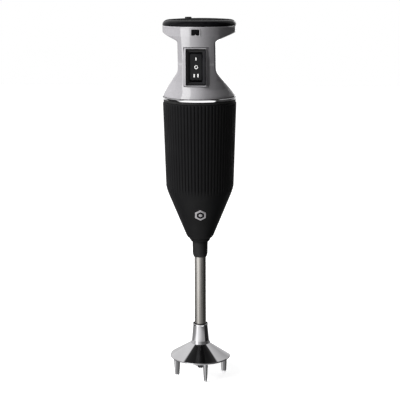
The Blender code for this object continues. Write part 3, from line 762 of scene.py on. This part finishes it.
def switch_body():
    """The switch's black flange, dished towards the well that the rocker turns in."""
    low, high = span("switch_body")
    rocker_low, rocker_high = span("rocker")
    width, height = high.x - low.x, high.z - low.z
    well = (PADDLE_WIDTH + 0.8, rocker_high.z - rocker_low.z + 1.6)
    face, back, floor = low.y, high.y, low.y + 11.5
    loops = [(0.0, back, 0.6), (0.0, face + 0.7, 0.6), (0.03, face + 0.45, 0.6)]
    loops += [(0.14, face + 0.1, 0.7), (0.3, face, 0.7), (0.42, face, 0.7), (0.5, face + 0.12, 0.7)]
    loops += [(0.86, face + 1.0, 0.6), (0.97, face + 1.15, 0.5), (1.0, face + 1.4, 0.5), (1.0, floor, 0.5)]
    made = []
    for share, y, radius in loops:
        w = width + (well[0] - width) * share
        h = height + (well[1] - height) * share
        made.append(front_loop(SWITCH_AT, y, w, h, radius))
    piece(loft("switch_flange", made), "switch_black", replaces=["switch_body"])


def face_depth(rise):
    """The paddle's shallow V, rounded at the bottom, as a distance from the pivot along Y."""
    reach = 12.3
    flat = 2.2
    share = (math.sqrt(rise * rise + flat * flat) - flat) / (math.sqrt(reach * reach + flat * flat) - flat)
    return FACE_MIDDLE + (FACE_END - FACE_MIDDLE) * share


def rocker():
    """The three-position paddle, with its ends turned about the pivot, and the trunnions."""
    outline = [(face_depth(rise), rise) for rise in np.linspace(-11.6, 11.6, 25)]
    start = math.radians(20)
    end = math.radians(-12)
    arc = []
    for angle in np.linspace(start, end, 7):
        arc.append((-PADDLE_END_R * math.sin(angle), PADDLE_END_R * math.cos(angle)))
    outline += arc + [(4.6, 6.0), (4.6, -6.0)] + [(y, -z) for y, z in reversed(arc)]
    loops = []
    half = PADDLE_WIDTH / 2
    for side in (-1, 1):
        angles = np.radians([90, 60, 30, 0])
        for angle in angles if side < 0 else reversed(angles):
            inset = PADDLE_EDGE * (1 - math.cos(angle))
            x = side * (half - PADDLE_EDGE * (1 - math.sin(angle)))
            shrink = 1 - inset / PADDLE_END_R
            loops.append([(x, PIVOT.y + y * shrink, PIVOT.z + z * shrink) for y, z in outline])
    paddle = loft("rocker_paddle", loops)
    trunnions = pin("trunnions", 1.2, (-8.1, PIVOT.y, PIVOT.z), (8.1, PIVOT.y, PIVOT.z))
    carve(paddle, trunnions, operation="UNION")
    piece(paddle, "switch_black", body="switch_rocker", replaces=["rocker"])


def mark(name, outline, at, hole=None):
    """A raised printed mark of (x, rise) points on the paddle's face, about (x, rise) at."""
    loops = []
    buried = -0.15
    edge = MARK_PROUD * 0.6
    rims = [(outline, buried), (outline, edge), ([(u * 0.93, v * 0.97) for u, v in outline], MARK_PROUD)]
    if hole:
        rims += [([(u * 1.07, v * 1.07) for u, v in hole], MARK_PROUD), (hole, edge), (hole, buried)]
    for rim, lift in rims:
        loop = []
        for u, v in rim:
            rise = at[1] + v
            loop.append((at[0] + u, PIVOT.y + face_depth(rise) - lift, PIVOT.z + rise))
        loops.append(loop)
    piece(loft(name, loops, ring=hole is not None), None, body="switch_rocker", look=MARK_WHITE)


def marks():
    """I, O and II: low speed, off and high speed."""
    bar = rectangle(1.1, 2.8, 0.2, steps=3)
    tall_bar = rectangle(1.15, 3.2, 0.2, steps=3)
    circle = [(math.cos(math.tau * i / 40), math.sin(math.tau * i / 40)) for i in range(40)]
    mark("mark_one", bar, (0, 7.9))
    outer, inner = ([(r * u, r * v) for u, v in circle] for r in (1.8, 1.15))
    mark("mark_off", outer, (0, 0), inner)
    mark("mark_two_left", tall_bar, (-1.85, -8.2))
    mark("mark_two_right", tall_bar, (1.85, -8.2))


# ---------------------------------------------------------------- joint rings and motor housing

JOINT_BORE_R = 34.0
RIB_COUNT = 64
RIB_DEPTH = 0.85
POINTS_PER_RIB = 10
GROOVE_SHARE = 0.25  # half the groove's width, as a share of the pitch
SPIGOT_TOP, NOSE_FOOT = span("motor_housing")[1].z, span("motor_housing")[0].z
GRIP_R = 37.0
GRIP_TOP = span("gasket")[0].z - FIT
GRIP_FOOT = 204.7
CONE_TOP = (31.3, 194.0)
CONE_FOOT = (14.0, NOSE_FOOT + 6.4)
BORE_R = 6.35
BADGE_AZIMUTH = math.radians(7.0)
BADGE_ACROSS = 6.3


def trim_ring():
    """The bright ring: a band that leans in towards its foot, under a small shoulder."""
    low, high = span("trim_ring")
    r = high.x
    profile = [
        (r - 0.5, high.z, 0.1),
        (r, high.z - 0.4, 0.12),
        (r - 0.9, low.z, 0.1),
        (JOINT_BORE_R, low.z, 0.1),
        (JOINT_BORE_R, high.z, 0.1),
    ]
    piece(turned("trim_band", profile, steps=256), "chrome", replaces=["trim_ring"])


def gasket():
    low, high = span("gasket")
    r = high.x
    profile = [(r - 0.3, high.z, 0.25), (r, high.z - 0.8, 0.5), (r - 0.2, low.z, 0.3)]
    profile += [(JOINT_BORE_R, low.z, 0.1), (JOINT_BORE_R, high.z, 0.1)]
    piece(turned("joint_gasket", profile, steps=192), "black_rubber", replaces=["gasket"])


def rib_shape(share):
    """1 at a groove's bottom and 0 on a crest, for a place in the pitch."""
    away = abs(share - 0.75)
    if away > GROOVE_SHARE:
        return 0.0
    return math.cos(math.pi / 2 * away / GROOVE_SHARE) ** 1.5


def grip_rings():
    """(radius, height, groove depth) of the grip, from its shoulder down to the cone."""
    shoulder = [(1.4, 0, 0.0), (0.75, 0.05, 0.1), (0.3, 0.45, 0.45), (0.06, 1.0, 0.8), (0, 1.6, 1.0)]
    rings = [(GRIP_R - inward, GRIP_TOP - drop, depth) for inward, drop, depth in shoulder]
    steps = 14
    foot_r = 34.5
    top = GRIP_TOP - 1.6
    for i in range(1, steps + 1):
        share = i / steps
        rings.append((GRIP_R + (foot_r - GRIP_R) * share, top + (GRIP_FOOT - top) * share, 1.0))
    shoulder_steps = 6
    for i in range(1, shoulder_steps + 1):
        share = i / shoulder_steps
        ease = share ** 1.35
        r = foot_r + (CONE_TOP[0] - foot_r) * ease
        rings.append((r, GRIP_FOOT + (CONE_TOP[1] - GRIP_FOOT) * share, max(0.0, 1 - 1.5 * share)))
    return rings


def cone_rings():
    cone_steps = 10
    rings = []
    for i in range(1, cone_steps):
        share = i / cone_steps
        r = CONE_TOP[0] + (CONE_FOOT[0] - CONE_TOP[0]) * share
        rings.append((r, CONE_TOP[1] + (CONE_FOOT[1] - CONE_TOP[1]) * share, 0.0))
    nose = [
        (*CONE_FOOT, 0.8),
        (12.6, NOSE_FOOT + 4.3, 0.5),
        (10.9, NOSE_FOOT + 3.9, 0.3),
        (10.6, NOSE_FOOT + 2.1, 0.6),
        (9.2, NOSE_FOOT, 0.4),
        (BORE_R, NOSE_FOOT, 0),
    ]
    start = rings[-1]
    outline = filleted([(start[0], start[1], 0), *nose], closed=False, steps=3)
    return rings + [(r, z, 0.0) for r, z in outline[1:]]


def motor_housing():
    """The ribbed grip and its smooth cone in one shell, with a spigot inside the joint rings."""
    rings = [(31.5, SPIGOT_TOP, 0.0), (33.6, SPIGOT_TOP, 0.0), (33.6, GRIP_TOP, 0.0)]
    rings += grip_rings() + cone_rings()
    rings += [(BORE_R, 158.8, 0.0), (13.6, 160.0, 0.0), (29.0, 196.0, 0.0), (31.5, 205.0, 0.0)]
    loops = []
    for r, z, depth in rings:
        loop = []
        for rib in range(RIB_COUNT):
            for i in range(POINTS_PER_RIB):
                share = i / POINTS_PER_RIB
                angle = math.tau * (rib + share) / RIB_COUNT
                radius = r - RIB_DEPTH * depth * rib_shape(share)
                loop.append((radius * math.cos(angle), radius * math.sin(angle), z))
        loops.append(loop)
    piece(loft("ribbed_grip", loops, ring=True), "black_satin", replaces=["motor_housing"], smooth=50)


def badge():
    """A plain hexagonal plaque that follows the cone, with a dark inlay and a stud in its middle."""
    centre_z = middle("badge").z
    slope = math.atan2(CONE_TOP[0] - CONE_FOOT[0], CONE_TOP[1] - CONE_FOOT[1])

    def on_cone(u, v, lift):
        z = centre_z + v * math.cos(slope) - lift * math.sin(slope)
        r = CONE_FOOT[0] + (centre_z + v * math.cos(slope) - CONE_FOOT[1]) * math.tan(slope)
        turn = BADGE_AZIMUTH + u / r
        r += lift * math.cos(slope)
        return r * math.sin(turn), -r * math.cos(turn), z

    def hexagon(across, radius):
        angles = [math.pi / 3 * i for i in range(6)]
        corners = [(across * math.sin(a), across * math.cos(a), radius) for a in angles]
        return filleted(corners, steps=4)

    def plaque(name, rims, slot, replaces=()):
        loops = []
        for across, radius, lift in rims:
            loops.append([on_cone(u, v, lift) for u, v in hexagon(across, radius)])
        piece(loft(name, loops), slot, replaces=replaces)

    plaque(
        "badge_plaque",
        [
            (BADGE_ACROSS, 0.7, -0.2),
            (BADGE_ACROSS, 0.7, 0.45),
            (BADGE_ACROSS - 0.12, 0.65, 0.62),
            (BADGE_ACROSS - 0.4, 0.6, 0.7),
            (4.3, 0.4, 0.7),
            (4.2, 0.4, 0.4),
        ],
        "badge_silver",
        ["badge"],
    )
    inlay = [(4.1, 0.4, 0.3), (4.1, 0.4, 0.5), (3.95, 0.4, 0.56), (1.0, 0.2, 0.58)]
    plaque("badge_inlay", inlay, "black_gloss")
    stud = [(2.0, 0.25, 0.4), (2.0, 0.25, 0.66), (1.85, 0.2, 0.74), (0.5, 0.1, 0.78)]
    plaque("badge_stud", stud, "badge_silver")


# ---------------------------------------------------------------- stem, guard and blade

GUARD_R = 31.8
GUARD_RIM = 22.4
GUARD_SLOPE = 0.61  # drop per millimetre outwards
LEG_R = 25.2
LEG_COUNT = 4
LEG_AZIMUTH = 17.5
LEG_TIP_RISE = 3.4
LEG_SQUARENESS = 0.78  # exponent of the section: 1 is an ellipse, less is squarer
LEG_LEAN_FROM = 18.0
LEG_TOP = GUARD_RIM + (GUARD_R - LEG_R) * GUARD_SLOPE - 1.2
BLADE_AZIMUTH = math.radians(35)
BLADE_R = 17.0
BLADE_THICKNESS = 1.2


def stem():
    low, high = span("stem_collar")
    bore = 6.3
    collar = [
        (high.x, high.z, 0.25),
        (high.x - 0.24, low.z + 3.7, 0.9),
        (high.x - 0.7, low.z + 1.6, 0.9),
        (high.x - 1.3, low.z, 0.25),
        (bore, low.z, 0.1),
        (bore, high.z, 0.1),
    ]
    piece(turned("stem_bush", collar, steps=96), "black_rubber", replaces=["stem_collar"])
    low, high = span("stem_tube")
    r = high.x
    tube = [(r, high.z, 0.15), (r, low.z, 0.15), (r - 1, low.z, 0.15), (r - 1, high.z, 0.15)]
    piece(turned("stem_pipe", tube, steps=96), "brushed_steel", replaces=["stem_tube"])


def guard_top(r):
    return GUARD_RIM + (GUARD_R - r) * GUARD_SLOPE


def leg(i):
    """A tapered fin with a round tip, its top buried in the guard's wall."""
    turn = math.radians(LEG_AZIMUTH + 360 * i / LEG_COUNT)
    outward = Vector((math.sin(turn), -math.cos(turn), 0))
    across = Vector((math.cos(turn), math.sin(turn), 0))
    loops = []
    shares = [0.0, 0.03, 0.1, 0.22, 0.4, 0.62, 0.85, 1.0]
    for height in [LEG_TIP_RISE * share for share in shares] + list(np.linspace(4, LEG_TOP, 12)):
        grown = min(height / LEG_TIP_RISE, 1.0)
        rounding = 0.3 + 0.7 * math.sqrt(1 - (1 - grown) ** 2)
        taper = min(height / LEG_TOP, 1.0)
        deep = (2.5 + 1.3 * taper) * rounding
        wide = (1.5 + 1.3 * taper) * rounding
        # The uppermost loops lean over to the cone's slope.
        follow = max(0.0, (height - LEG_LEAN_FROM) / (LEG_TOP - LEG_LEAN_FROM))
        loop = []
        for k in range(28):
            angle = math.tau * k / 28
            u = math.copysign(abs(math.cos(angle)) ** LEG_SQUARENESS, math.cos(angle)) * deep
            v = math.copysign(abs(math.sin(angle)) ** LEG_SQUARENESS, math.sin(angle)) * wide
            rise = height - follow * u * GUARD_SLOPE
            loop.append(outward * (LEG_R + u) + across * v + Vector((0, 0, rise)))
        loops.append(loop)
    return loft("leg", loops)


def hub_seal():
    """The black seal between the tube and the hub's lip."""
    top = span("blade_guard")[1].z
    tube_r = span("stem_tube")[1].x
    profile = [
        (tube_r + 0.05, top - 0.9, 0.1),
        (tube_r + 0.5, top - 0.9, 0.15),
        (7.0, top - 1.6, 0.2),
        (7.0, top - 2.9, 0.05),
        (tube_r + 0.05, top - 2.9, 0.05),
    ]
    piece(turned("hub_seal", profile, steps=96), "black_rubber")


def blade_guard():
    """The bright bell with its hub and rolled rim, and the four legs grown out of it."""
    high = span("blade_guard")[1]
    thick = 2.3
    profile = [
        (7.35, high.z, 0.15),
        (8.1, high.z, 0.25),
        (8.1, high.z - 0.7, 0.3),
        (7.75, high.z - 1.7, 0.8),
        (9.2, 38.6, 0.9),
        (10.2, guard_top(10.2) - 0.02, 0.5),
        (GUARD_R - 0.45, guard_top(GUARD_R - 0.45), 0.35),
        (GUARD_R, GUARD_RIM - 0.4, 0.25),
        (GUARD_R - 0.15, 21.2, 0.25),
        (GUARD_R - 0.8, 21.0, 0.3),
        (29.7, 21.1, 0.5),
        (29.4, guard_top(29.4) - thick, 0.4),
        (10.2, guard_top(10.2) - thick, 1.2),
        (9.2, 27.0, 0.5),
        (5.9, 27.0, 0.3),
        (5.9, 35.9, 0),
        (BORE_R, 35.9, 0),
        (BORE_R, high.z - 3.4, 0.2),
        (7.1, high.z - 3.0, 0.2),
    ]
    guard = turned("guard_bell", profile, steps=224)
    carve(guard, *[leg(i) for i in range(LEG_COUNT)], operation="UNION")
    piece(guard, "chrome", replaces=["blade_guard"], smooth=38)


def wing(side, tilt):
    """Half of the blade: a ground cutting edge in front and a square back, bent up or down."""
    centre_z = middle("blade").z
    thick = BLADE_THICKNESS
    bend_at = 4.6
    stations = [(3.6, -2.9, 3.1), (10.0, -2.9, 3.1), (13.5, -2.3, 2.9)]  # reach, back edge, cutting edge
    stations += [(BLADE_R - 1.2, -1.5, 2.4), (BLADE_R, -0.2, 1.2)]
    loops = []
    for out, back_edge, cut_edge in stations:
        ground = cut_edge - min(1.3, (cut_edge - back_edge) * 0.5)
        section = [
            (back_edge, -thick / 2),
            (ground, -thick / 2),
            (cut_edge, -0.08),
            (cut_edge, 0.08),
            (ground, thick / 2),
            (back_edge, thick / 2),
        ]
        rise = (out - bend_at) * math.sin(math.radians(tilt)) if out > bend_at else 0.0
        loop = []
        for v, w in section:
            point = Vector((side * out, side * v, w + rise))
            loop.append(Matrix.Rotation(BLADE_AZIMUTH, 3, "Z") @ point + Vector((0, 0, centre_z)))
        loops.append(loop)
    return loft("wing", loops)


def blade():
    centre_z = middle("blade").z
    top, bottom = centre_z + BLADE_THICKNESS / 2, centre_z - BLADE_THICKNESS / 2
    hub = [(5.4, top, 0.15), (5.4, bottom, 0.15), (2.3, bottom, 0), (2.3, top, 0)]
    made = turned("blade_wings", hub, steps=64)
    carve(made, wing(1, 12), wing(-1, -4), operation="UNION")
    piece(made, "brushed_steel", body="rotor", replaces=["blade"], smooth=25)
    low, high = span("blade_nut")
    r = high.x
    profile = [
        (0, low.z + 1.4, 0),
        (2.3, low.z + 1.4, 0),
        (2.3, high.z, 0),
        (r, high.z, 0.3),
        (r, high.z - 2.6, 1.2),
        (r - 0.7, low.z + 1.1, 1.2),
        (r - 2.0, low.z, 0.5),
        (0, low.z, 0),
    ]
    nut = turned("blade_cap_nut", profile, ring=False, steps=64)
    carve(nut, block("nut_slot", (-0.5, -5, low.z - 1), (0.5, 5, low.z + 0.8)))
    piece(nut, "dark_nut", body="rotor", replaces=["blade_nut"])


# ---------------------------------------------------------------- studio

CAMERA_AZIMUTH = 6.0
CAMERA_PITCH = 11.7
CAMERA_DISTANCE = 1.1233
CAMERA_TARGET = Vector((0, 0, 0.1883))
CAMERA_LENS = 98.45
CAMERA_ROLL = -0.2


def direction(azimuth, elevation):
    """A unit vector from the object towards that azimuth and elevation, in degrees."""
    a, e = math.radians(azimuth), math.radians(elevation)
    return Vector((math.sin(a) * math.cos(e), -math.cos(a) * math.cos(e), math.sin(e)))


def camera():
    data = bpy.data.cameras.new("camera")
    data.lens = CAMERA_LENS
    data.clip_start = 0.01
    obj = bpy.data.objects.new("camera", data)
    bpy.context.scene.collection.objects.link(obj)
    back = direction(CAMERA_AZIMUTH, CAMERA_PITCH)
    obj.location = CAMERA_TARGET + back * CAMERA_DISTANCE
    aim = (-back).to_track_quat("-Z", "Y").to_matrix()
    obj.rotation_euler = (aim @ Matrix.Rotation(math.radians(CAMERA_ROLL), 3, "Z")).to_euler()
    bpy.context.scene.camera = obj


def softbox(name, azimuth, elevation, distance, width, height, power):
    """A rectangular light that faces the object; neither the camera nor reflections show it."""
    data = bpy.data.lights.new(name, "AREA")
    data.shape = "RECTANGLE"
    data.size = width
    data.size_y = height
    data.energy = power
    obj = bpy.data.objects.new(name, data)
    bpy.context.scene.collection.objects.link(obj)
    way = direction(azimuth, elevation)
    obj.location = CAMERA_TARGET + way * distance
    obj.rotation_euler = way.to_track_quat("Z", "Y").to_euler()
    obj.visible_camera = False
    obj.visible_glossy = False


def horizon(*stops):
    """A ramp's stops from (azimuth from the camera, brightness), the object's left being negative."""
    return sorted(((azimuth / 360 + 0.25) % 1.0, brightness) for azimuth, brightness in stops)


STRIP = ((-61.5, 0.5), (-60.5, 1.45), (-32.5, 1.4), (-31.5, 0.75))  # the tall softbox's reflection
TIERS = [  # the lowest elevation of each tier of walls, and what stands round it
    (-70, horizon(  # mirrored by the trim ring's lower band
        (-179, 0.55), (-152, 0.6), (-148, 1.6), (-137, 1.6), (-134, 0.01), (-90, 0.01), (-86, 1.7), (62, 1.7),
        (68, 0.02), (140, 0.05), (152, 0.5), (179, 0.55),
    )),
    (-46, horizon(  # by the legs
        (-179, 0.4), (-150, 0.45), (-137, 0.4), (-133, 0.03), (-92, 0.03), (-87, 0.5), (-61.5, 0.6),
        (-60.5, 1.0), (-32.5, 1.0), (-31.5, 0.55), (-10, 0.42), (10, 0.28), (35, 0.2), (60, 0.06),
        (130, 0.05), (150, 0.3), (179, 0.4),
    )),
    (-18.9, horizon(  # by the tube
        (-179, 1.1), (-150, 0.9), (-136, 0.3), (-120, 0.3), (-88, 0.42), *STRIP, (-21, 0.9), (-2, 0.53),
        (18, 0.13), (37, 0.12), (59, 0.12), (70, 0.02), (125, 0.02), (140, 0.4), (179, 0.9),
    )),
    (-10.5, horizon(  # by the hub
        (-179, 0.9), (-146, 0.5), (-134, 0.2), (-112, 0.3), (-105, 0.8), (-87, 0.9), (-61.5, 0.95),
        (-60.5, 1.45), (-39, 1.35), (-26, 1.05), (-12, 0.9), (1, 0.75), (15, 0.55), (28, 0.42),
        (60, 0.3), (65, 0.0), (110, 0.0), (120, 0.3), (179, 0.9),
    )),
    (-7.5, horizon(  # by the upper housing
        (-179, 0.5), (-150, 0.5), *STRIP, (-10, 0.5), (0, 0.4), (20, 0.15), (60, 0.08), (65, 0.02),
        (145, 0.02), (152, 2.6), (172, 2.6), (176, 0.5), (179, 0.5),
    )),
    (-2.2, horizon(  # by the flare
        (-179, 0.03), (-171, 0.03), (-168, 0.7), (-120, 0.6), *STRIP, (-10, 0.5), (0, 0.4), (20, 0.15),
        (60, 0.08), (90, 0.05), (140, 0.3), (152, 0.75), (159, 0.9), (160, 2.5), (169, 2.5),
        (171, 0.03), (179, 0.03),
    )),
    (13, horizon(  # by the guard's cone
        (-179, 0.8), (-165, 0.8), (-122, 0.8), (-115, 0.5), *STRIP, (-10, 0.5), (20, 0.15), (60, 0.1),
        (115, 0.1), (122, 0.72), (145, 0.45), (160, 0.7), (179, 0.8),
    )),
]
# What dims the walls, from straight down at 0 to straight up at 1.
LEVELS = [(0.0, 0.12), (0.02, 0.3), (0.03, 1.0), (0.915, 1.0), (0.93, 0.05), (1.0, 0.02)]
TIER_BLEND = 0.003


def surroundings():
    """White for the camera; for light and reflections the walls of TIERS, dimmed as LEVELS says."""
    world = bpy.data.worlds.new("studio")
    world.use_nodes = True
    bpy.context.scene.world = world
    tree = world.node_tree
    tree.nodes.clear()

    def node(kind, **settings):
        made = tree.nodes.new("ShaderNode" + kind)
        for name, value in settings.items():
            setattr(made, name, value)
        return made

    def ramp(fac, stops):
        made = node("ValToRGB")
        while len(made.color_ramp.elements) < len(stops):
            made.color_ramp.elements.new(0.5)
        for element, (place, value) in zip(made.color_ramp.elements, stops):
            element.position = place
            element.color = (value, value, value, 1)
        tree.links.new(fac, made.inputs["Fac"])
        return made.outputs["Color"]

    place = node("TexCoord").outputs["Generated"]
    turn = node("Mapping", vector_type="TEXTURE")
    turn.inputs["Rotation"].default_value = (0, 0, math.radians(CAMERA_AZIMUTH))
    tree.links.new(place, turn.inputs["Vector"])
    around = node("TexGradient", gradient_type="RADIAL")
    tree.links.new(turn.outputs["Vector"], around.inputs["Vector"])
    # Round the horizon the gradient runs 0 at -X, 0.25 at the camera, 0.5 at +X and 0.75 behind the object.
    height = node("SeparateXYZ")
    tree.links.new(place, height.inputs["Vector"])
    up = node("MapRange")
    for name, value in (("From Min", -1.0), ("From Max", 1.0)):
        up.inputs[name].default_value = value
    tree.links.new(height.outputs["Z"], up.inputs["Value"])
    walls = None
    for elevation, stops in TIERS:
        here = ramp(around.outputs["Fac"], stops)
        if walls:
            start = (math.sin(math.radians(elevation)) + 1) / 2
            tiers = node("Mix", data_type="RGBA")
            above = [(start - TIER_BLEND, 0.0), (start + TIER_BLEND, 1.0)]
            tree.links.new(ramp(up.outputs["Result"], above), tiers.inputs["Factor"])
            tree.links.new(walls, tiers.inputs["A"])
            tree.links.new(here, tiers.inputs["B"])
            here = tiers.outputs["Result"]
        walls = here
    product = node("Mix", data_type="RGBA", blend_type="MULTIPLY")
    product.inputs["Factor"].default_value = 1.0
    tree.links.new(walls, product.inputs["A"])
    tree.links.new(ramp(up.outputs["Result"], LEVELS), product.inputs["B"])
    lit = node("Background")
    tree.links.new(product.outputs["Result"], lit.inputs["Color"])
    seen = node("Background")
    seen.inputs["Color"].default_value = (1, 1, 1, 1)
    either = node("MixShader")
    tree.links.new(node("LightPath").outputs["Is Camera Ray"], either.inputs["Fac"])
    tree.links.new(lit.outputs["Background"], either.inputs[1])
    tree.links.new(seen.outputs["Background"], either.inputs[2])
    output = node("OutputWorld")
    tree.links.new(either.outputs["Shader"], output.inputs["Surface"])


def floor():
    """A pale floor that is nearly white in the light, with a faint shadow at the feet."""
    half = 3000
    points = [(-half, -half, 0), (half, -half, 0), (half, half, 0), (-half, half, 0)]
    obj = build("floor", points, [(0, 1, 2, 3)])
    look = Look("floor", (0.9, 0.9, 0.9), 0.8, Emission_Strength=0.72)
    look.shader.inputs["Emission Color"].default_value = (1, 1, 1, 1)
    look.colour(look.ramp(look.noise(3, 4), (0.3, (0.88, 0.88, 0.88)), (0.7, (0.92, 0.92, 0.92))))
    obj.data.materials.append(look.material)
    obj.visible_glossy = False
    obj.visible_diffuse = False


def studio():
    camera()
    surroundings()
    floor()
    softbox("key", -58.0, 35.0, 1.3, 0.7, 0.6, 31)
    bpy.context.scene.view_settings.view_transform = "Standard"


def main():
    housing_front()
    housing_rear()
    for name in HOUSING_SCREWS:
        pan_screw(name)
    top_cap()
    cord_gland()
    latch()
    switch_frame()
    switch_body()
    rocker()
    marks()
    trim_ring()
    gasket()
    motor_housing()
    badge()
    stem()
    blade_guard()
    hub_seal()
    blade()
    studio()


main()
